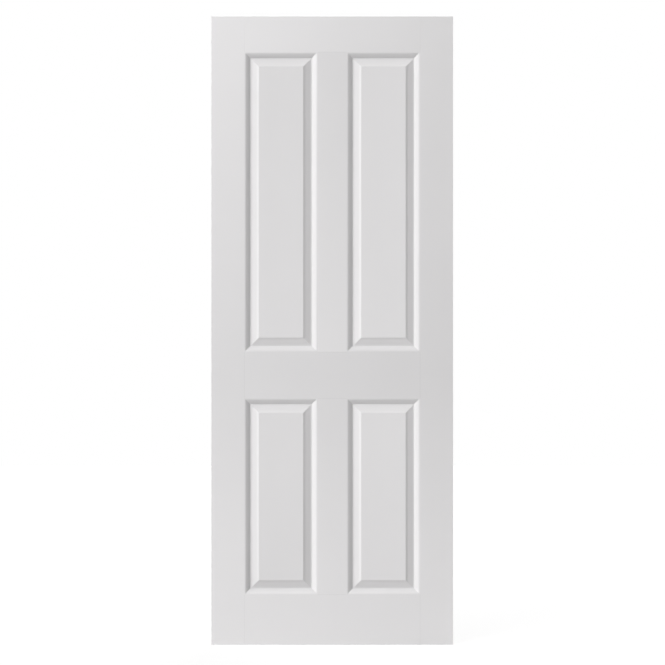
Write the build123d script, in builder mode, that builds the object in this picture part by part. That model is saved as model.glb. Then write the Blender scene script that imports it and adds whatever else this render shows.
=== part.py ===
from build123d import *

import os
from math import ceil, sqrt

# A hollow-core interior door leaf with moulded skins and four panels, in millimetres.
# The origin is at the middle of its foot. X runs across the leaf, Z up, and the front faces -Y.

# The leaf as a whole
leaf_width = 762
leaf_height = 1981
leaf_thickness = 35

# The face, between the outer edges of the panel mouldings
stile_width = 104
muntin_width = 92
top_rail_width = 112
lock_rail_width = 146
bottom_rail_width = 158
lower_panel_height = 619

# The pressed fibreboard skins
skin_thickness = 3.2
skin_arris = 0.5
joint_line_width = 1.2
joint_line_depth = 0.4

# The panel moulding, from its outer edge inwards, as depths below the face
moulding_width = 45.5
lip_radius = 14.5
lip_turn = 24
sticking_width = 18.5
groove_depth = 8.5
groove_floor = 3.5
cove_radius = 18
shoulder_width = 6.5
shoulder_depth = 3.3
shoulder_foot_radius = 2
shoulder_edge_radius = 4
field_land = 2
field_drop = 0.3

# The softwood frame between the skins
timber_stile_width = 32
timber_top_width = 32
timber_bottom_width = 44
lock_block_height = 380
lock_block_clearance = 5
vent_diameter = 6
vent_spacing = 300
vents_in_rail = 2

# The corrugated fasteners that hold the frame's corners together
fastener_length = 25
fastener_depth = 12
fastener_gauge = 0.6
fastener_amplitude = 1.4
fastener_waves = 4
fastener_set = 0.3
slot_clearance = 0.05

# The expanded paper core
cell_size = 105
cell_wall = 0.8
core_clearance = 0.5

# Sizes that follow
frame_thickness = leaf_thickness - 2 * skin_thickness
rail_length = leaf_width - 2 * timber_stile_width
frame_joint_x = rail_length / 2
panel_width = (leaf_width - 2 * stile_width - muntin_width) / 2
panel_x = (muntin_width + panel_width) / 2
lower_panel_top = bottom_rail_width + lower_panel_height
upper_panel_foot = lower_panel_top + lock_rail_width
upper_panel_top = leaf_height - top_rail_width
upper_panel_height = upper_panel_top - upper_panel_foot
lower_panel_z = bottom_rail_width + lower_panel_height / 2
upper_panel_z = upper_panel_foot + upper_panel_height / 2
pressing_width = moulding_width + field_land

panel_places = []
for panel_z, panel_height in ((lower_panel_z, lower_panel_height), (upper_panel_z, upper_panel_height)):
    for side in (-1, 1):
        panel_places.append((side * panel_x, panel_z, panel_height))

front_face = Plane.XZ.offset(leaf_thickness / 2)


def moulding_start(centre_x, centre_z):
    """The plane across the moulding at the middle of a panel's left edge, with the panel to its +x."""
    edge_middle = (centre_x - panel_width / 2, -leaf_thickness / 2, centre_z)
    return Plane(origin=edge_middle, x_dir=(1, 0, 0), z_dir=(0, 0, -1))


def panel_path(centre_x, centre_z, height):
    """The rectangle of a panel's outer edge, begun and ended at the middle of its left side."""
    left = centre_x - panel_width / 2
    right = centre_x + panel_width / 2
    foot = centre_z - height / 2
    top = centre_z + height / 2
    return Polyline((left, centre_z), (left, foot), (right, foot), (right, top), (left, top), close=True)


# The moulding's front line: a rounded lip, the ovolo sticking, a narrow groove, a coved bevel and a shoulder
shoulder_foot = (moulding_width - shoulder_width, -shoulder_depth)
groove_edge = (sticking_width + groove_floor, -groove_depth)
with BuildLine() as moulding_line:
    lip = JernArc(start=(0, 0), tangent=(1, 0), radius=lip_radius, arc_size=-lip_turn)
    sticking = TangentArc(lip @ 1, (sticking_width, -groove_depth), tangent=lip % 1)
    FilletPolyline(
        sticking @ 1,
        groove_edge,
        shoulder_foot,
        (moulding_width, -field_drop),
        (pressing_width, -field_drop),
        radius=[cove_radius, shoulder_foot_radius, shoulder_edge_radius],
    )

# The joints that are embossed in the face, where the stiles, rails and muntins of a framed door would meet
stile_joint_x = leaf_width / 2 - stile_width
rail_spans = (
    (0, bottom_rail_width),
    (lower_panel_top, upper_panel_foot),
    (upper_panel_top, leaf_height),
)
joint_line_profile = ((-joint_line_width / 2, 0), (joint_line_width / 2, 0), (0, joint_line_depth))
with BuildPart() as joint_lines:
    for span_foot, span_top in rail_spans:
        with BuildSketch(Plane.XY.offset(span_foot)):
            with Locations((-stile_joint_x, -leaf_thickness / 2), (stile_joint_x, -leaf_thickness / 2)):
                Polygon(*joint_line_profile, align=None)
        extrude(amount=span_top - span_foot)
    with BuildSketch(Plane.ZY.offset(-muntin_width / 2)):
        for muntin_end in (bottom_rail_width, lower_panel_top, upper_panel_foot, upper_panel_top):
            with Locations((muntin_end, -leaf_thickness / 2)):
                Polygon(*joint_line_profile, align=None)
    extrude(amount=-muntin_width)

# Front skin: one pressed sheet of even thickness, with a mitred moulding and a field in each panel
with BuildPart() as front_skin:
    with BuildSketch(front_face):
        Rectangle(leaf_width, leaf_height, align=(Align.CENTER, Align.MIN))
        for place_x, place_z, place_height in panel_places:
            with Locations((place_x, place_z)):
                Rectangle(panel_width, place_height, mode=Mode.SUBTRACT)
    extrude(amount=-skin_thickness)
    outer_edges = front_skin.faces().sort_by(Axis.Y)[0].outer_wire().edges()
    chamfer(outer_edges, length=skin_arris)
    for place_x, place_z, place_height in panel_places:
        with BuildLine(front_face) as panel_edge:
            panel_path(place_x, place_z, place_height)
        with BuildSketch(moulding_start(place_x, place_z)):
            with BuildLine():
                add(moulding_line.line)
                offset(amount=skin_thickness, side=Side.RIGHT, mode=Mode.REPLACE)
            make_face()
        sweep(path=panel_edge.line, transition=Transition.RIGHT)
    with BuildSketch(front_face.offset(-field_drop)):
        for place_x, place_z, place_height in panel_places:
            with Locations((place_x, place_z)):
                Rectangle(panel_width - 2 * pressing_width, place_height - 2 * pressing_width)
    extrude(amount=-skin_thickness)
    add(joint_lines.part, mode=Mode.SUBTRACT)
front_skin.part.label = "front_skin"

# Back skin: the same sheet, turned to face the other way
with BuildPart() as back_skin:
    add(front_skin.part, rotation=(0, 0, 180))
back_skin.part.label = "back_skin"

# The wave of a corrugated fastener, seen on the face of the frame, even about the joint that it crosses
wave_crests = (fastener_amplitude, -fastener_amplitude, -fastener_amplitude, fastener_amplitude)
crest_pitch = fastener_length / (fastener_waves * len(wave_crests))
crest_x = (crest_pitch - fastener_length) / 2
wave_points = [(-fastener_length / 2, fastener_amplitude)]
for wave in range(fastener_waves):
    for crest in wave_crests:
        wave_points.append((crest_x, crest))
        crest_x += crest_pitch
wave_points.append((fastener_length / 2, fastener_amplitude))
with BuildLine() as fastener_wave:
    Polyline(*wave_points)

# A fastener enters each face of the frame across each corner joint
fastener_planes = {}
for rail_name, rail_z in (("top", leaf_height - timber_top_width / 2), ("bottom", timber_bottom_width / 2)):
    for side_name, joint_x in (("left", -frame_joint_x), ("right", frame_joint_x)):
        for face_name, outward in (("front", -1), ("back", 1)):
            face_centre = (joint_x, outward * frame_thickness / 2, rail_z)
            face_plane = Plane(origin=face_centre, x_dir=(1, 0, 0), z_dir=(0, outward, 0))
            fastener_planes[f"fastener_{rail_name}_{side_name}_{face_name}"] = face_plane

with BuildPart() as fastener_slots:
    for face_plane in fastener_planes.values():
        with BuildSketch(face_plane):
            trace(fastener_wave.line, line_width=fastener_gauge + 2 * slot_clearance)
        extrude(amount=-(fastener_set + fastener_depth + slot_clearance))

# Left stile: softwood, the leaf's full height
with BuildPart() as left_stile:
    with BuildSketch():
        with Locations((-leaf_width / 2, 0)):
            Rectangle(timber_stile_width, frame_thickness, align=(Align.MIN, Align.CENTER))
    extrude(amount=leaf_height)
    add(fastener_slots.part, mode=Mode.SUBTRACT)
left_stile.part.label = "left_stile"

# Right stile: the left one's mirror image
with BuildPart() as right_stile:
    mirror(left_stile.part, about=Plane.YZ)
right_stile.part.label = "right_stile"

# Top rail: between the stiles, with two vent holes up through it
with BuildPart() as top_rail:
    with BuildSketch(Plane.XY.offset(leaf_height)):
        Rectangle(rail_length, frame_thickness)
        with GridLocations(vent_spacing, 0, vents_in_rail, 1):
            Circle(vent_diameter / 2, mode=Mode.SUBTRACT)
    extrude(amount=-timber_top_width)
    add(fastener_slots.part, mode=Mode.SUBTRACT)
top_rail.part.label = "top_rail"

# Bottom rail: deeper, because it is the one that is trimmed to the floor
with BuildPart() as bottom_rail:
    with BuildSketch():
        Rectangle(rail_length, frame_thickness)
        with GridLocations(vent_spacing, 0, vents_in_rail, 1):
            Circle(vent_diameter / 2, mode=Mode.SUBTRACT)
    extrude(amount=timber_bottom_width)
    add(fastener_slots.part, mode=Mode.SUBTRACT)
bottom_rail.part.label = "bottom_rail"

# Lock blocks: one against each stile at mid height, clear of the mouldings
lock_block_width = stile_width - timber_stile_width - lock_block_clearance
lock_block_foot = (leaf_height - lock_block_height) / 2
with BuildPart() as left_lock_block:
    with BuildSketch(Plane.XY.offset(lock_block_foot)):
        with Locations((-frame_joint_x, 0)):
            Rectangle(lock_block_width, frame_thickness, align=(Align.MIN, Align.CENTER))
    extrude(amount=lock_block_height)
left_lock_block.part.label = "left_lock_block"

with BuildPart() as right_lock_block:
    mirror(left_lock_block.part, about=Plane.YZ)
right_lock_block.part.label = "right_lock_block"

# The room that the front mouldings and fields take from the core: the moulding's corners, lowered by the skin
relief_depth = skin_thickness / (sticking % 1).X + core_clearance
field_back = field_drop + skin_thickness
relief_corners = (
    (0, 0),
    (0, -skin_thickness),
    (sticking_width, -groove_depth - relief_depth),
    (groove_edge[0], groove_edge[1] - relief_depth),
    (shoulder_foot[0], shoulder_foot[1] - relief_depth),
    (pressing_width, -field_back),
    (pressing_width, 0),
)
with BuildPart() as front_relief:
    for place_x, place_z, place_height in panel_places:
        with BuildLine(front_face) as panel_edge:
            panel_path(place_x, place_z, place_height)
        with BuildSketch(moulding_start(place_x, place_z)):
            Polygon(*relief_corners, align=None)
        sweep(path=panel_edge.line, transition=Transition.RIGHT)
    with BuildSketch(front_face):
        for place_x, place_z, place_height in panel_places:
            with Locations((place_x, place_z)):
                Rectangle(panel_width - 2 * pressing_width, place_height - 2 * pressing_width)
    extrude(amount=-field_back)

# The space that is left for the core: between the rails, notched round the lock blocks
core_foot = timber_bottom_width + core_clearance
core_height = leaf_height - timber_top_width - core_clearance - core_foot
core_width = rail_length - 2 * core_clearance
core_z = core_foot + core_height / 2
with BuildPart() as core_space:
    with BuildSketch(Plane.XZ.offset(frame_thickness / 2)):
        with Locations((0, core_z)):
            Rectangle(core_width, core_height)
        with Locations((-frame_joint_x, leaf_height / 2), (frame_joint_x, leaf_height / 2)):
            notch_width = 2 * (lock_block_width + core_clearance)
            Rectangle(notch_width, lock_block_height + 2 * core_clearance, mode=Mode.SUBTRACT)
    extrude(amount=-frame_thickness)
    add(front_relief.part, mode=Mode.SUBTRACT)
    add(front_relief.part, rotation=(0, 0, 180), mode=Mode.SUBTRACT)

# Honeycomb core: a sheet of six-sided paper cells, cut to that space and crushed by the mouldings
cells_across = ceil(core_width / (cell_size * sqrt(3) / 2)) + 1
cells_up = ceil(core_height / cell_size) + 1
cell_outline = RegularPolygon((cell_size - cell_wall) / 2, side_count=6, major_radius=False).wire()
cell_outlines = [cell_outline.moved(place) for place in HexLocations(cell_size / 2, cells_across, cells_up)]
sheet_outline = Rectangle((cells_across + 1) * cell_size, (cells_up + 2) * cell_size).wire()
with BuildPart() as honeycomb_core:
    with BuildSketch(Plane.XZ.offset(frame_thickness / 2)):
        with Locations((0, core_z)):
            add(Face(sheet_outline, cell_outlines))
    extrude(amount=-frame_thickness)
    add(core_space.part, mode=Mode.INTERSECT)
honeycomb_core.part.label = "honeycomb_core"

os.makedirs("parts", exist_ok=True)
for piece in (
    front_skin,
    back_skin,
    left_stile,
    right_stile,
    top_rail,
    bottom_rail,
    left_lock_block,
    right_lock_block,
    honeycomb_core,
):
    export_step(piece.part, f"parts/{piece.part.label}.step")

for fastener_name, face_plane in fastener_planes.items():
    with BuildPart() as fastener:
        with BuildSketch(face_plane.offset(-fastener_set)):
            trace(fastener_wave.line, line_width=fastener_gauge)
        extrude(amount=-fastener_depth)
    fastener.part.label = fastener_name
    export_step(fastener.part, f"parts/{fastener_name}.step")
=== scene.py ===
from math import atan2, ceil, cos, pi, radians, sin, tan

import bmesh
import bpy
from mathutils import Matrix, Vector


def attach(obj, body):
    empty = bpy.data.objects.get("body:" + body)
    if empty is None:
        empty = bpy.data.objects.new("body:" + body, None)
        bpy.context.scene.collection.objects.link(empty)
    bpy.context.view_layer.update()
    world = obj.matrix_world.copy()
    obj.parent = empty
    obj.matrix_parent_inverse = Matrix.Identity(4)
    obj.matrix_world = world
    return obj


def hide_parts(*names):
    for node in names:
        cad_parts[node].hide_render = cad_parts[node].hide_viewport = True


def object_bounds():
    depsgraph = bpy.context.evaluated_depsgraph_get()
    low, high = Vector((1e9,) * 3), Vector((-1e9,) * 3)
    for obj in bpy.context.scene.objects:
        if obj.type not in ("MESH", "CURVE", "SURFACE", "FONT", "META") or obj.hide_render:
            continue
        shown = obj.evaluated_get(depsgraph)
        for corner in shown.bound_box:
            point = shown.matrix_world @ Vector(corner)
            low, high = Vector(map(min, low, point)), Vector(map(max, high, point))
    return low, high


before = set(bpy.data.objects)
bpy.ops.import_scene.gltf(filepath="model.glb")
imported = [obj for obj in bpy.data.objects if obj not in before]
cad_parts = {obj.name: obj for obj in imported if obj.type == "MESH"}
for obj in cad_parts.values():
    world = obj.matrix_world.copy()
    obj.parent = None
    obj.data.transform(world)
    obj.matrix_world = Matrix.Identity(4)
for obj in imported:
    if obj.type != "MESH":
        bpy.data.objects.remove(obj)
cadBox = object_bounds()
print("frame loaded")

# The leaf stands on the floor, up +Z, with its front face looking along -Y
leafLow, leafHigh = Vector(cadBox[0]), Vector(cadBox[1])
leafWidth, _, leafHeight = leafHigh - leafLow
frontY = leafLow.y

# Points this close are one. A point lies on an edge when the way over it is longer by less than the detour
tiny = 1e-6
detour = 1e-8


# One node, with its settings, and a value or a link for each socket
def addNode(tree, kind, sockets=None, **settings):
    node = tree.nodes.new(kind)
    for name, value in settings.items():
        setattr(node, name, value)
    for name, value in (sockets or {}).items():
        if isinstance(value, bpy.types.NodeSocket):
            tree.links.new(value, node.inputs[name])
        else:
            node.inputs[name].default_value = value
    return node


def mathNode(tree, operation, first, second=None):
    given = {0: first} if second is None else {0: first, 1: second}
    return addNode(tree, "ShaderNodeMath", given, operation=operation).outputs[0]


# A material with its Principled surface, and where a point lies on the piece
def newMaterial(name):
    material = bpy.data.materials.new(name)
    material.use_nodes = True
    tree = material.node_tree
    tree.nodes.clear()
    surface = addNode(tree, "ShaderNodeBsdfPrincipled")
    addNode(tree, "ShaderNodeOutputMaterial", {"Surface": surface.outputs["BSDF"]})
    place = addNode(tree, "ShaderNodeTexCoord").outputs["Object"]
    return material, tree, surface, place


# Most of a noise texture's values lie in this range
noiseRange = (0.3, 0.7)


def noiseAt(tree, place, scale, detail=2.0, roughness=0.5, stretch=None):
    if stretch is not None:
        place = addNode(tree, "ShaderNodeMapping", {"Vector": place, "Scale": stretch}).outputs[0]
    sockets = {"Vector": place, "Scale": scale, "Detail": detail, "Roughness": roughness}
    return addNode(tree, "ShaderNodeTexNoise", sockets).outputs["Fac"]


def fromTo(tree, value, fromLow, fromHigh, toLow, toHigh):
    sockets = {"Value": value, "From Min": fromLow, "From Max": fromHigh, "To Min": toLow, "To Max": toHigh}
    return addNode(tree, "ShaderNodeMapRange", sockets).outputs["Result"]


def mixColours(tree, factor, first, second):
    node = addNode(tree, "ShaderNodeMix", {"Factor": factor}, data_type="RGBA")
    # These two inputs are the node's A and B for colours
    for socket, colour in ((node.inputs[6], first), (node.inputs[7], second)):
        if isinstance(colour, bpy.types.NodeSocket):
            tree.links.new(colour, socket)
        else:
            socket.default_value = (*colour, 1.0)
    return node.outputs[2]


def scaledColour(tree, colour, tone):
    return addNode(tree, "ShaderNodeVectorMath", {0: colour, "Scale": tone}, operation="SCALE").outputs[0]


def bumpInto(tree, surface, height, depth):
    bump = addNode(tree, "ShaderNodeBump", {"Height": height, "Distance": depth})
    tree.links.new(bump.outputs["Normal"], surface.inputs["Normal"])


# Sprayed primer on the pressed face: off-white, matt, with a fine orange peel. Shade is painted into its
# colour in the grooves and in the joint lines, and painted light and shade lie over the flats: lighter to the
# left, more so near the top, and towards both ends, and darker about the lock rail. The upper muntin is
# painted darker at its top than at its foot
primerLook = {
    "colour": (0.74, 0.73, 0.735),
    "mottle": {"scale": 4.0, "detail": 3.0},
    "mottleTone": 0.008,
    "paintedGrooveShade": -0.08,
    "paintedJointShade": -0.16,
    "paintedLightOffset": -0.03,
    "paintedLeftLight": 0.055,
    "paintedLeftLightAtTop": 1.6,
    "paintedEndsLight": 0.075,
    "paintedFootLight": 0.03,
    "paintedLockRailShade": -0.035,
    "lockRailHeight": 0.85,
    "lockRailReach": 0.45,
    "paintedMuntinTopShade": -0.05,
    "paintedMuntinFootLight": 0.07,
    "roughness": (0.56, 0.66),
    "roughnessNoise": {"scale": 30.0},
    "sheen": 0.25,
    "peel": {"scale": 700.0, "detail": 1.0},
    "peelDepth": 0.00003,
}

# The marks that the skins' meshes carry for the light and shade painted into the primer
faceMarks = ("flatShare", "grooveShare", "jointShare", "muntinTop", "muntinFoot")


# Painted light and shade over the flats: lighter to the left and more so near the top, lighter towards both
# ends and the foot, darker about the lock rail
def paintedLightOverFlats(tree, place):
    look = primerLook
    parts = addNode(tree, "ShaderNodeSeparateXYZ", {0: place}).outputs
    leftward = mathNode(tree, "MULTIPLY", parts["X"], -look["paintedLeftLight"] * 2 / leafWidth)
    nearTop = fromTo(tree, parts["Z"], leafHeight / 2, leafHeight, 1.0, look["paintedLeftLightAtTop"])
    leftward = mathNode(tree, "MULTIPLY", leftward, nearTop)
    fromMiddle = mathNode(tree, "SUBTRACT", mathNode(tree, "MULTIPLY", parts["Z"], 2 / leafHeight), 1.0)
    ends = mathNode(tree, "MULTIPLY", mathNode(tree, "MULTIPLY", fromMiddle, fromMiddle), look["paintedEndsLight"])
    foot = fromTo(tree, parts["Z"], 0.0, look["lockRailHeight"], look["paintedFootLight"], 0.0)
    fromLock = mathNode(tree, "ABSOLUTE", mathNode(tree, "SUBTRACT", parts["Z"], look["lockRailHeight"]))
    lock = fromTo(tree, fromLock, 0.0, look["lockRailReach"], look["paintedLockRailShade"], 0.0)
    paintedShading = mathNode(tree, "ADD", mathNode(tree, "ADD", leftward, ends), look["paintedLightOffset"])
    return mathNode(tree, "ADD", paintedShading, mathNode(tree, "ADD", foot, lock))


def primerMaterial():
    look = primerLook
    material, tree, surface, place = newMaterial("primer")
    mottle = noiseAt(tree, place, **look["mottle"])
    tone = fromTo(tree, mottle, *noiseRange, 1 - look["mottleTone"], 1 + look["mottleTone"])
    marks = {}
    for name in faceMarks:
        marks[name] = addNode(tree, "ShaderNodeAttribute", attribute_name=name).outputs["Fac"]
    paintedShading = mathNode(tree, "MULTIPLY", paintedLightOverFlats(tree, place), marks["flatShare"])
    # Painted shade deep in the grooves and at the bottom of the joint lines; painted shade at the upper
    # muntin's top and painted light at its foot
    for name, shift in (
        ("grooveShare", look["paintedGrooveShade"]),
        ("jointShare", look["paintedJointShade"]),
        ("muntinTop", look["paintedMuntinTopShade"]),
        ("muntinFoot", look["paintedMuntinFootLight"]),
    ):
        paintedShading = mathNode(tree, "ADD", paintedShading, mathNode(tree, "MULTIPLY", marks[name], shift))
    colour = scaledColour(tree, look["colour"], mathNode(tree, "ADD", tone, paintedShading))
    tree.links.new(colour, surface.inputs["Base Color"])
    roughness = fromTo(tree, noiseAt(tree, place, **look["roughnessNoise"]), *noiseRange, *look["roughness"])
    tree.links.new(roughness, surface.inputs["Roughness"])
    surface.inputs["Specular IOR Level"].default_value = look["sheen"]
    bumpInto(tree, surface, noiseAt(tree, place, **look["peel"]), look["peelDepth"])
    return material


# The sawn edge and the back of the pressed sheet: brown fibre in thin layers, with overspray by the face
fibreboardLook = {
    "dark": (0.20, 0.115, 0.060),
    "light": (0.36, 0.235, 0.135),
    "fibre": {"scale": 260.0, "detail": 6.0, "roughness": 0.7, "stretch": (1.0, 5.0, 1.0)},
    "fibreDepth": 0.00015,
    "overspray": (0.76, 0.75, 0.755),
    "sprayFrom": 0.0163,
    "sprayTo": 0.0178,
    "sprayCover": 0.9,
    "sprayEdge": {"scale": 120.0, "detail": 4.0},
    "sprayWander": 0.0006,
    "roughness": 0.85,
}


def fibreboardMaterial():
    look = fibreboardLook
    material, tree, surface, place = newMaterial("rawFibreboard")
    fibre = noiseAt(tree, place, **look["fibre"])
    colour = mixColours(tree, fromTo(tree, fibre, *noiseRange, 0.0, 1.0), look["dark"], look["light"])
    across = mathNode(tree, "ABSOLUTE", addNode(tree, "ShaderNodeSeparateXYZ", {0: place}).outputs["Y"])
    edge = noiseAt(tree, place, **look["sprayEdge"])
    wander = fromTo(tree, edge, 0.0, 1.0, -look["sprayWander"], look["sprayWander"])
    across = mathNode(tree, "ADD", across, wander)
    spray = fromTo(tree, across, look["sprayFrom"], look["sprayTo"], 0.0, look["sprayCover"])
    colour = mixColours(tree, spray, colour, look["overspray"])
    tree.links.new(colour, surface.inputs["Base Color"])
    surface.inputs["Roughness"].default_value = look["roughness"]
    bumpInto(tree, surface, fibre, look["fibreDepth"])
    return material


# Planed softwood in finger-jointed lengths. The grain runs along one axis of the leaf
pineLook = {
    "pale": (0.66, 0.46, 0.27),
    "late": (0.47, 0.27, 0.125),
    "rings": {"scale": 95.0, "detail": 3.0, "roughness": 0.55},
    "ringBands": 6.0,
    "bandShare": 1.5,
    "fine": {"scale": 760.0, "detail": 3.0, "roughness": 0.6},
    "fineShare": 0.35,
    "alongGrain": 0.02,
    "grainRange": (0.15, 1.05),
    "grainDepth": 0.00012,
    "blockLength": 0.43,
    "blockUnevenness": 0.06,
    "blockWander": 2.3,
    "blockTone": 0.14,
    "fingerLength": 0.009,
    "fingerPitch": 0.0038,
    "glueLine": (0.30, 0.17, 0.08),
    "glueShare": 0.0007,
    "roughness": 0.68,
}


def pineMaterial(name, grainAxis):
    look = pineLook
    material, tree, surface, place = newMaterial(name)
    parts = addNode(tree, "ShaderNodeSeparateXYZ", {0: place}).outputs
    along, depth = parts[grainAxis], parts["Y"]

    # Interlocking fingers shift the joint to and fro across the timber's edge
    finger = mathNode(tree, "PINGPONG", depth, look["fingerPitch"] / 2)
    finger = mathNode(tree, "MULTIPLY", finger, 2 * look["fingerLength"] / look["fingerPitch"])
    wander = mathNode(tree, "SINE", mathNode(tree, "MULTIPLY", along, look["blockWander"]))
    wander = mathNode(tree, "MULTIPLY", wander, look["blockUnevenness"])
    joined = mathNode(tree, "ADD", mathNode(tree, "ADD", along, finger), wander)
    joined = mathNode(tree, "DIVIDE", joined, look["blockLength"])

    # Every length is another piece of the tree, so its grain is moved as a whole
    number = mathNode(tree, "FLOOR", joined)
    block = addNode(tree, "ShaderNodeTexWhiteNoise", {"W": number}, noise_dimensions="1D").outputs
    moved = addNode(tree, "ShaderNodeVectorMath", {0: place, 1: block["Color"]}, operation="ADD").outputs[0]
    stretch = [1.0, 1.0, 1.0]
    stretch["XYZ".index(grainAxis)] = look["alongGrain"]
    rings = noiseAt(tree, moved, stretch=stretch, **look["rings"])
    bands = mathNode(tree, "PINGPONG", mathNode(tree, "MULTIPLY", rings, look["ringBands"]), 0.5)
    bands = mathNode(tree, "MULTIPLY", bands, look["bandShare"])
    fine = noiseAt(tree, moved, stretch=stretch, **look["fine"])
    grain = mathNode(tree, "ADD", bands, mathNode(tree, "MULTIPLY", fine, look["fineShare"]))
    colour = mixColours(tree, fromTo(tree, grain, *look["grainRange"], 0.0, 1.0), look["pale"], look["late"])
    tone = fromTo(tree, block["Value"], 0.0, 1.0, 1 - look["blockTone"], 1 + look["blockTone"])
    colour = scaledColour(tree, colour, tone)

    # A thin glue line where one length meets the next
    fromCentre = mathNode(tree, "ABSOLUTE", mathNode(tree, "SUBTRACT", mathNode(tree, "FRACT", joined), 0.5))
    onGlue = mathNode(tree, "GREATER_THAN", fromCentre, 0.5 - look["glueShare"])
    colour = mixColours(tree, onGlue, colour, look["glueLine"])
    tree.links.new(colour, surface.inputs["Base Color"])
    surface.inputs["Roughness"].default_value = look["roughness"]
    bumpInto(tree, surface, grain, look["grainDepth"])
    return material


# Kraft paper of the honeycomb
paperLook = {
    "dark": (0.30, 0.18, 0.09),
    "light": (0.45, 0.30, 0.17),
    "fibre": {"scale": 500.0, "detail": 5.0, "roughness": 0.65, "stretch": (1.0, 0.3, 1.0)},
    "fibreDepth": 0.0001,
    "roughness": 0.9,
}


def paperMaterial():
    look = paperLook
    material, tree, surface, place = newMaterial("kraftPaper")
    fibre = noiseAt(tree, place, **look["fibre"])
    colour = mixColours(tree, fromTo(tree, fibre, *noiseRange, 0.0, 1.0), look["dark"], look["light"])
    tree.links.new(colour, surface.inputs["Base Color"])
    surface.inputs["Roughness"].default_value = look["roughness"]
    bumpInto(tree, surface, fibre, look["fibreDepth"])
    return material


# Blued strip steel of the corrugated fasteners
steelLook = {
    "blue": (0.13, 0.15, 0.19),
    "bright": (0.42, 0.42, 0.43),
    "rolled": {"scale": 300.0, "detail": 4.0, "roughness": 0.6, "stretch": (0.2, 1.0, 1.0)},
    "rolledDepth": 0.00005,
    "brightRange": (0.35, 0.75),
    "roughness": (0.3, 0.5),
}


def steelMaterial():
    look = steelLook
    material, tree, surface, place = newMaterial("bluedSteel")
    rolled = noiseAt(tree, place, **look["rolled"])
    shine = fromTo(tree, rolled, *look["brightRange"], 0.0, 1.0)
    tree.links.new(mixColours(tree, shine, look["blue"], look["bright"]), surface.inputs["Base Color"])
    tree.links.new(fromTo(tree, rolled, *noiseRange, *look["roughness"]), surface.inputs["Roughness"])
    surface.inputs["Metallic"].default_value = 1.0
    bumpInto(tree, surface, rolled, look["rolledDepth"])
    return material


primer = primerMaterial()
rawFibreboard = fibreboardMaterial()
uprightPine = pineMaterial("uprightPine", "Z")
levelPine = pineMaterial("levelPine", "X")
print("materials made")

# The pressed face, between the outer edges of the mouldings
face = {
    "stileWidth": 0.104,
    "muntinWidth": 0.092,
    "topRail": 0.112,
    "lockRail": 0.146,
    "bottomRail": 0.158,
    "lowerPanel": 0.619,
    "skinThickness": 0.0032,
    "arris": 0.0005,
    "arrisSteps": 2,
    "sharpFrom": radians(26),
    "flatWeight": 100,
    "jointLineWidth": 0.0012,
    "jointLineDepth": 0.0004,
}
stileJoint = leafWidth / 2 - face["stileWidth"]
panelInner = face["muntinWidth"] / 2
panelWidth = stileJoint - panelInner
panelX = (stileJoint + panelInner) / 2
lowerFoot = face["bottomRail"]
lowerTop = lowerFoot + face["lowerPanel"]
upperFoot = lowerTop + face["lockRail"]
upperTop = leafHeight - face["topRail"]
panelSpans = ((lowerFoot, lowerTop), (upperFoot, upperTop))
railSpans = ((0.0, lowerFoot), (lowerTop, upperFoot), (upperTop, leafHeight))

# The moulding's section, from its outer edge inwards
moulding = {
    "width": 0.0455,
    "land": 0.002,
    "lipRadius": 0.0145,
    "lipTurn": radians(24),
    "stickingWidth": 0.0185,
    "grooveDepth": 0.0085,
    "grooveFillet": 0.0009,
    "grooveFloor": 0.0035,
    "coveRadius": 0.018,
    "shoulderWidth": 0.0065,
    "shoulderDepth": 0.0033,
    "shoulderFoot": 0.002,
    "shoulderEdge": 0.004,
    "fieldDrop": 0.0003,
    "stepAngle": radians(4),
}


# Points along an arc that leaves a point in a given heading and turns by a signed angle
def arcPoints(start, heading, radius, turn):
    side = 1 if turn > 0 else -1
    centre = start + Vector((-heading.y, heading.x)) * radius * side
    steps = max(2, ceil(abs(turn) / moulding["stepAngle"]))
    spoke = start - centre
    points = []
    for step in range(steps + 1):
        angle = turn * step / steps
        points.append(centre + Matrix.Rotation(angle, 2) @ spoke)
    return points


def turnBetween(first, second):
    return atan2(first.x * second.y - first.y * second.x, first.dot(second))


# A line of straight runs with an arc of its own radius at each inner corner
def roundedLine(corners, radii):
    points = [corners[0]]
    for before, corner, after, radius in zip(corners, corners[1:], corners[2:], radii):
        into, out = (corner - before).normalized(), (after - corner).normalized()
        turn = turnBetween(into, out)
        points += arcPoints(corner - into * radius * tan(abs(turn) / 2), into, radius, turn)
    points.append(corners[-1])
    return points


# The last step of the sticking is the first run of the rounded line, so that a fillet joins it to the floor
def mouldingSection():
    m = moulding
    lip = arcPoints(Vector((0.0, 0.0)), Vector((1.0, 0.0)), m["lipRadius"], m["lipTurn"])
    foot = Vector((m["stickingWidth"], m["grooveDepth"]))
    heading = Vector((cos(m["lipTurn"]), sin(m["lipTurn"])))
    chord = foot - lip[-1]
    halfTurn = turnBetween(heading, chord)
    sticking = arcPoints(lip[-1], heading, chord.length / (2 * sin(halfTurn)), 2 * halfTurn)
    corners = [
        sticking[-2],
        foot,
        Vector((m["stickingWidth"] + m["grooveFloor"], m["grooveDepth"])),
        Vector((m["width"] - m["shoulderWidth"], m["shoulderDepth"])),
        Vector((m["width"], m["fieldDrop"])),
        Vector((m["width"] + m["land"], m["fieldDrop"])),
    ]
    radii = (m["grooveFillet"], m["coveRadius"], m["shoulderFoot"], m["shoulderEdge"])
    return lip[:-1] + sticking[:-2] + roundedLine(corners, radii)


def meshObject(name, points, faces=()):
    mesh = bpy.data.meshes.new(name)
    mesh.from_pydata(points, [], faces)
    made = bpy.data.objects.new(name, mesh)
    bpy.context.scene.collection.objects.link(made)
    return made


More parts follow.
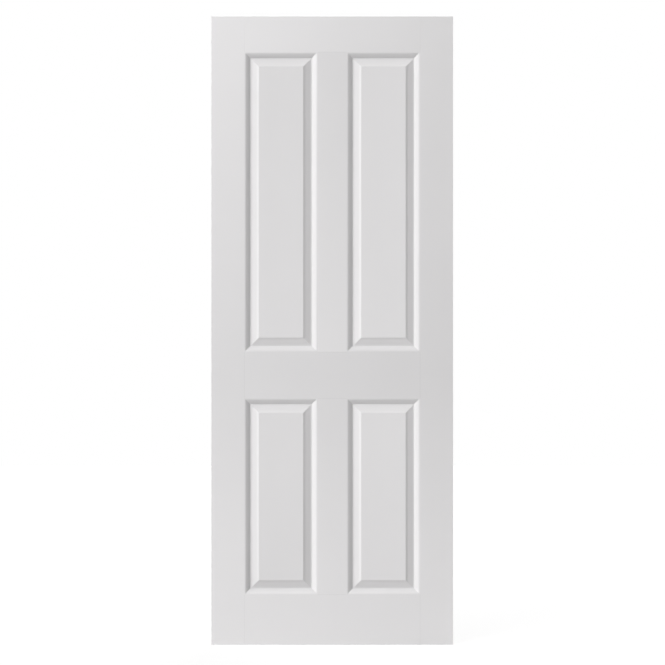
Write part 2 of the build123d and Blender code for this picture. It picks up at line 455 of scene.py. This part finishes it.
# Geometry Nodes: the section's points become nested rectangles, so the corners are true mitres
def mouldingTree():
    tree = bpy.data.node_groups.new("panelMoulding", "GeometryNodeTree")
    for name, kind in (
        ("Panel Centres", "NodeSocketGeometry"),
        ("Panel Width", "NodeSocketFloat"),
        ("Panel Height", "NodeSocketFloat"),
        ("Section", "NodeSocketObject"),
        ("Finish", "NodeSocketMaterial"),
    ):
        tree.interface.new_socket(name=name, in_out="INPUT", socket_type=kind)
    tree.interface.new_socket(name="Mouldings", in_out="OUTPUT", socket_type="NodeSocketGeometry")
    given = addNode(tree, "NodeGroupInput").outputs
    section = addNode(tree, "GeometryNodeObjectInfo", {"Object": given["Section"]}).outputs["Geometry"]
    size = addNode(tree, "GeometryNodeAttributeDomainSize", {"Geometry": section}, component="MESH")
    count = size.outputs["Point Count"]
    ringPoints = 5  # four corners, and the first once more
    rings = addNode(tree, "GeometryNodeMeshGrid", {"Vertices X": count, "Vertices Y": ringPoints})
    index = addNode(tree, "GeometryNodeInputIndex").outputs[0]
    ringIndex = mathNode(tree, "DIVIDE", mathNode(tree, "ADD", index, 0.5), ringPoints)
    ringIndex = mathNode(tree, "FLOOR", ringIndex)
    corner = mathNode(tree, "MODULO", index, ringPoints)
    position = addNode(tree, "GeometryNodeInputPosition").outputs[0]
    halfWidth = mathNode(tree, "MULTIPLY", given["Panel Width"], 0.5)
    halfHeight = mathNode(tree, "MULTIPLY", given["Panel Height"], 0.5)

    def sectionAt(place):
        sockets = {"Geometry": section, "Value": position, "Index": place}
        sample = addNode(tree, "GeometryNodeSampleIndex", sockets, data_type="FLOAT_VECTOR", domain="POINT")
        parts = addNode(tree, "ShaderNodeSeparateXYZ", {0: sample.outputs[0]}).outputs
        return parts["X"], parts["Y"]

    # Corners 1 and 2 are on the right, 2 and 3 at the top, and corner 4 closes on corner 0
    def signOf(middle):
        away = mathNode(tree, "ABSOLUTE", mathNode(tree, "SUBTRACT", corner, middle))
        isFar = mathNode(tree, "GREATER_THAN", away, 1.0)
        return mathNode(tree, "SUBTRACT", 1.0, mathNode(tree, "MULTIPLY", isFar, 2.0))

    inset, depth = sectionAt(ringIndex)
    x = mathNode(tree, "MULTIPLY", signOf(1.5), mathNode(tree, "SUBTRACT", halfWidth, inset))
    z = mathNode(tree, "MULTIPLY", signOf(2.5), mathNode(tree, "SUBTRACT", halfHeight, inset))
    placed = addNode(tree, "ShaderNodeCombineXYZ", {"X": x, "Y": depth, "Z": z}).outputs[0]
    rings = addNode(tree, "GeometryNodeSetPosition", {"Geometry": rings.outputs["Mesh"], "Position": placed})

    # The flat field closes the innermost ring
    inset, depth = sectionAt(mathNode(tree, "SUBTRACT", count, 1.0))
    width = mathNode(tree, "MULTIPLY", mathNode(tree, "SUBTRACT", halfWidth, inset), 2.0)
    height = mathNode(tree, "MULTIPLY", mathNode(tree, "SUBTRACT", halfHeight, inset), 2.0)
    sockets = {"Size X": width, "Size Y": height, "Vertices X": 2, "Vertices Y": 2}
    field = addNode(tree, "GeometryNodeMeshGrid", sockets).outputs["Mesh"]
    drop = addNode(tree, "ShaderNodeCombineXYZ", {"Y": depth}).outputs[0]
    sockets = {"Geometry": field, "Translation": drop, "Rotation": (pi / 2, 0.0, 0.0)}
    field = addNode(tree, "GeometryNodeTransform", sockets).outputs[0]
    both = addNode(tree, "GeometryNodeJoinGeometry")
    tree.links.new(rings.outputs[0], both.inputs[0])
    tree.links.new(field, both.inputs[0])
    sockets = {"Geometry": both.outputs[0], "Distance": tiny}
    whole = addNode(tree, "GeometryNodeMergeByDistance", sockets).outputs[0]
    sockets = {"Points": given["Panel Centres"], "Instance": whole}
    instances = addNode(tree, "GeometryNodeInstanceOnPoints", sockets).outputs[0]
    real = addNode(tree, "GeometryNodeRealizeInstances", {"Geometry": instances}).outputs[0]
    sockets = {"Geometry": real, "Material": given["Finish"]}
    finished = addNode(tree, "GeometryNodeSetMaterial", sockets).outputs[0]
    addNode(tree, "NodeGroupOutput", {"Mouldings": finished})
    return tree


def setInputs(modifier, values):
    for socket in modifier.node_group.interface.items_tree:
        if socket.in_out == "INPUT" and socket.name in values:
            modifier[socket.identifier] = values[socket.name]


# The finished mesh of an object with its modifiers. The object itself is cleared away
def takeMesh(made):
    graph = bpy.context.evaluated_depsgraph_get()
    finished = made.evaluated_get(graph)
    mesh = bpy.data.meshes.new_from_object(finished, preserve_all_data_layers=True, depsgraph=graph)
    made.modifiers.clear()
    bpy.data.objects.remove(made)
    return mesh


# The flat stiles, rails and muntins as one sheet with its panel openings and its embossed joint lines
def flatSheet():
    half, groove = face["jointLineWidth"] / 2, face["jointLineDepth"]
    columns = [leafWidth / 2, panelInner, panelInner - half]
    columns += [stileJoint - half, stileJoint, stileJoint + half]
    columns = sorted(columns + [-column for column in columns])
    muntinEnds = (lowerFoot, lowerTop, upperFoot, upperTop)
    rows = [0.0, leafHeight]
    for end in muntinEnds:
        rows += [end - half, end, end + half]
    rows.sort()

    def depthAt(x, z):
        onStileJoint = abs(abs(x) - stileJoint) < tiny
        inRail = any(low + tiny < z < high - tiny for low, high in railSpans) or z in (0.0, leafHeight)
        onMuntinEnd = abs(x) < panelInner - tiny and any(abs(z - end) < tiny for end in muntinEnds)
        return groove if (onStileJoint and inRail) or onMuntinEnd else 0.0

    points = [(x, frontY + depthAt(x, z), z) for z in rows for x in columns]
    faces = []
    for row in range(len(rows) - 1):
        for column in range(len(columns) - 1):
            x = (columns[column] + columns[column + 1]) / 2
            z = (rows[row] + rows[row + 1]) / 2
            inPanel = panelInner < abs(x) < stileJoint and any(low < z < high for low, high in panelSpans)
            if not inPanel:
                first = row * len(columns) + column
                faces.append((first, first + 1, first + 1 + len(columns), first + len(columns)))
    return meshObject("flatSheet", points, faces)


# Splits an open edge where a corner of the next piece lies on it, so that both can be sewn together
def sewOpenings(shell):
    splitting = True
    while splitting:
        splitting = False
        openEdges = [edge for edge in shell.edges if edge.is_boundary]
        corners = {corner for edge in openEdges for corner in edge.verts}
        for edge in openEdges:
            start, end = edge.verts
            for corner in corners - {start, end}:
                before, after = (corner.co - start.co).length, (end.co - corner.co).length
                if before + after - edge.calc_length() < detour and min(before, after) > tiny:
                    bmesh.utils.edge_split(edge, start, before / (before + after))
                    splitting = True
                    break
    bmesh.ops.remove_doubles(shell, verts=shell.verts, dist=tiny)


# The outer surface of the face: the mouldings with their fields, sewn into the flat sheet
def outerSurface():
    sectionPoints = [(point.x, point.y, 0.0) for point in mouldingSection()]
    section = meshObject("mouldingSection", sectionPoints)
    tree = mouldingTree()
    shell = bmesh.new()
    for low, high in panelSpans:
        middle = (low + high) / 2
        row = meshObject("panelRow", [(-panelX, frontY, middle), (panelX, frontY, middle)])
        modifier = row.modifiers.new("panelMoulding", "NODES")
        modifier.node_group = tree
        sizes = {"Panel Width": panelWidth, "Panel Height": high - low, "Section": section, "Finish": primer}
        setInputs(modifier, sizes)
        shell.from_mesh(takeMesh(row))
    sheet = flatSheet()
    shell.from_mesh(sheet.data)
    bpy.data.objects.remove(sheet)
    bpy.data.objects.remove(section)
    bmesh.ops.remove_doubles(shell, verts=shell.verts, dist=tiny)
    sewOpenings(shell)
    bmesh.ops.recalc_face_normals(shell, faces=shell.faces)
    if sum(one.normal.y for one in shell.faces) > 0:
        bmesh.ops.reverse_faces(shell, faces=shell.faces)
    for one in shell.faces:
        one.material_index = 0
    return shell


# The sheet's even thickness, with raw board on its edges and inside
def thickened(shell):
    skin = meshObject("pressedSkin", [])
    shell.to_mesh(skin.data)
    shell.free()
    skin.data.materials.append(primer)
    skin.data.materials.append(rawFibreboard)
    thickness = skin.modifiers.new("skinThickness", "SOLIDIFY")
    thickness.thickness = face["skinThickness"]
    thickness.offset = -1.0
    thickness.use_even_offset = True
    thickness.material_offset = 1
    thickness.material_offset_rim = 1
    return takeMesh(skin)


# A small arris round the leaf. The mitres stay sharp, as do all steep edges
def giveArris(mesh):
    shell = bmesh.new()
    shell.from_mesh(mesh)

    def onOutline(corner):
        edgewise = min(leafWidth / 2 - abs(corner.co.x), corner.co.z, leafHeight - corner.co.z)
        return edgewise < tiny and corner.co.y < frontY + 2 * face["jointLineDepth"]

    outline = [edge for edge in shell.edges if all(onOutline(corner) for corner in edge.verts)]
    bevel = {"offset": face["arris"], "segments": face["arrisSteps"], "profile": 0.5}
    bmesh.ops.bevel(shell, geom=outline, affect="EDGES", material=0, **bevel)
    bmesh.ops.recalc_face_normals(shell, faces=shell.faces)
    shell.to_mesh(mesh)
    shell.free()
    mesh.shade_smooth()
    mesh.set_sharp_from_angle(angle=face["sharpFrom"])
    sharp = mesh.attributes["sharp_edge"].data
    for edge in mesh.edges:
        first, second = (mesh.vertices[i].co for i in edge.vertices)
        if abs(first.x - second.x) > tiny and abs(first.z - second.z) > tiny:
            sharp[edge.index].value = True


# The wide flats keep their shading level up to the mouldings and the joint lines
def levelled(mesh):
    skin = bpy.data.objects.new("pressedSkin", mesh)
    bpy.context.scene.collection.objects.link(skin)
    weighting = skin.modifiers.new("levelFlats", "WEIGHTED_NORMAL")
    weighting.mode = "FACE_AREA"
    weighting.weight = face["flatWeight"]
    weighting.keep_sharp = True
    return takeMesh(skin)


# The marks say how much a point belongs to the flats, how deep it lies in a groove, whether it is the bottom
# of a joint line, and how near it is to the top and to the foot of the upper muntin. The primer paints light
# and shade by them
def markTheFace(mesh):
    for name in faceMarks:
        mesh.attributes.new(name, "FLOAT", "POINT")
    flat, groove, joint, top, foot = (mesh.attributes[name].data for name in faceMarks)
    muntinSpan = upperTop - upperFoot
    for i, vertex in enumerate(mesh.vertices):
        x, y, z = vertex.co
        across = min(abs(x) - panelInner, stileJoint - abs(x))
        inset = max(min(across, z - low, high - z) for low, high in panelSpans)
        fromEdge = min(leafWidth / 2 - abs(x), z, leafHeight - z)
        below = y - frontY
        flat[i].value = min(1.0, max(0.0, 1 - inset / moulding["stickingWidth"]))
        groove[i].value = min(1.0, below / moulding["grooveDepth"]) ** 2 if inset > tiny else 0.0
        atLineDepth = tiny < below < 2 * face["jointLineDepth"]
        joint[i].value = float(atLineDepth and inset <= tiny and fromEdge > face["arris"])
        onMuntin = abs(x) < panelInner + tiny and upperFoot + tiny < z < upperTop - tiny
        top[i].value = (z - upperFoot) / muntinSpan if onMuntin else 0.0
        foot[i].value = (upperTop - z) / muntinSpan if onMuntin else 0.0


skinMesh = thickened(outerSurface())
giveArris(skinMesh)
skinMesh = levelled(skinMesh)
markTheFace(skinMesh)
for name, node, turn in (("frontSkin", "front_skin", 0.0), ("backSkin", "back_skin", pi)):
    mesh = skinMesh.copy()
    mesh.transform(Matrix.Rotation(turn, 4, "Z"))
    skin = bpy.data.objects.new(name, mesh)
    bpy.context.scene.collection.objects.link(skin)
    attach(skin, "root")
    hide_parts(node)
print("skins pressed")

# The CAD nodes that keep their shape get their finish. Those not named here are the fasteners
finishes = {
    "left_stile": uprightPine,
    "right_stile": uprightPine,
    "top_rail": levelPine,
    "bottom_rail": levelPine,
    "left_lock_block": uprightPine,
    "right_lock_block": uprightPine,
    "honeycomb_core": paperMaterial(),
}
bluedSteel = steelMaterial()
for name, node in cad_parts.items():
    if name in ("front_skin", "back_skin"):
        continue
    node.data.materials.clear()
    node.data.materials.append(finishes.get(name, bluedSteel))
print("frame, core and fasteners finished")

# Floor and backdrop: white to the camera, but the floor keeps a faint shadow
studio = {
    "floorHalf": 8.0,
    "floorSeen": 0.22,
    "floorGlow": 0.86,
    "floorBounce": 0.3,
    "ambient": 0.02,
    "white": (1.0, 1.0, 1.0, 1.0),
}

# Three broad lamps: the way towards each, its power and its spread. The last is for the back and right edge
lampPlan = {
    "keyLight": ((-0.736, -0.573, 0.359), 0.79, radians(50)),
    "fillLight": ((-0.30, -0.868, 0.39), 0.42, radians(60)),
    "backLight": ((0.50, 0.78, 0.37), 0.95, radians(60)),
}


def seenDirectly(tree, andReflected=False):
    path = addNode(tree, "ShaderNodeLightPath").outputs
    seen = path["Is Camera Ray"]
    if andReflected:
        reflected = mathNode(tree, "MAXIMUM", path["Is Glossy Ray"], path["Is Transmission Ray"])
        seen = mathNode(tree, "MAXIMUM", seen, reflected)
    return seen


def makeFloor():
    reach = studio["floorHalf"]
    corners = [(-reach, -reach, 0.0), (reach, -reach, 0.0), (reach, reach, 0.0), (-reach, reach, 0.0)]
    floor = meshObject("studioFloor", corners, [(0, 1, 2, 3)])
    material, tree, surface, _ = newMaterial("studioFloor")
    seen = seenDirectly(tree)
    shade = fromTo(tree, seen, 0.0, 1.0, studio["floorBounce"], studio["floorSeen"])
    tree.links.new(shade, surface.inputs["Base Color"])
    surface.inputs["Roughness"].default_value = 1.0
    surface.inputs["Specular IOR Level"].default_value = 0.0
    surface.inputs["Emission Color"].default_value = studio["white"]
    tree.links.new(mathNode(tree, "MULTIPLY", seen, studio["floorGlow"]), surface.inputs["Emission Strength"])
    floor.data.materials.append(material)


def makeWorld():
    world = bpy.data.worlds.new("studioWorld")
    bpy.context.scene.world = world
    world.use_nodes = True
    tree = world.node_tree
    tree.nodes.clear()
    strength = fromTo(tree, seenDirectly(tree, True), 0.0, 1.0, studio["ambient"], 1.0)
    backdrop = addNode(tree, "ShaderNodeBackground", {"Color": studio["white"], "Strength": strength})
    addNode(tree, "ShaderNodeOutputWorld", {"Surface": backdrop.outputs[0]})


def makeLamps():
    for name, (direction, power, spread) in lampPlan.items():
        light = bpy.data.lights.new(name, "SUN")
        light.energy = power * pi
        light.angle = spread
        lamp = bpy.data.objects.new(name, light)
        lamp.rotation_euler = Vector(direction).to_track_quat("Z", "Y").to_euler()
        bpy.context.scene.collection.objects.link(lamp)


makeFloor()
makeWorld()
makeLamps()
print("studio lit")

# Camera: square to the leaf, at the height that the photograph's framing gives
view = {
    "distance": 6.0,
    "pixelSize": 0.003153,
    "framePixels": 665,
    "leafCentreRight": -0.3,
    "leafCentreUp": 1.9,
    "sensor": 36.0,
}


def makeCamera():
    lens = bpy.data.cameras.new("photoCamera")
    lens.sensor_width = view["sensor"]
    lens.lens = view["sensor"] * view["distance"] / (view["framePixels"] * view["pixelSize"])
    camera = bpy.data.objects.new("photoCamera", lens)
    x = -view["leafCentreRight"] * view["pixelSize"]
    z = leafHeight / 2 - view["leafCentreUp"] * view["pixelSize"]
    camera.location = (x, frontY - view["distance"], z)
    camera.rotation_euler = (pi / 2, 0.0, 0.0)
    bpy.context.scene.collection.objects.link(camera)
    bpy.context.scene.camera = camera


makeCamera()
bpy.context.scene.view_settings.view_transform = "Standard"
print("camera placed")
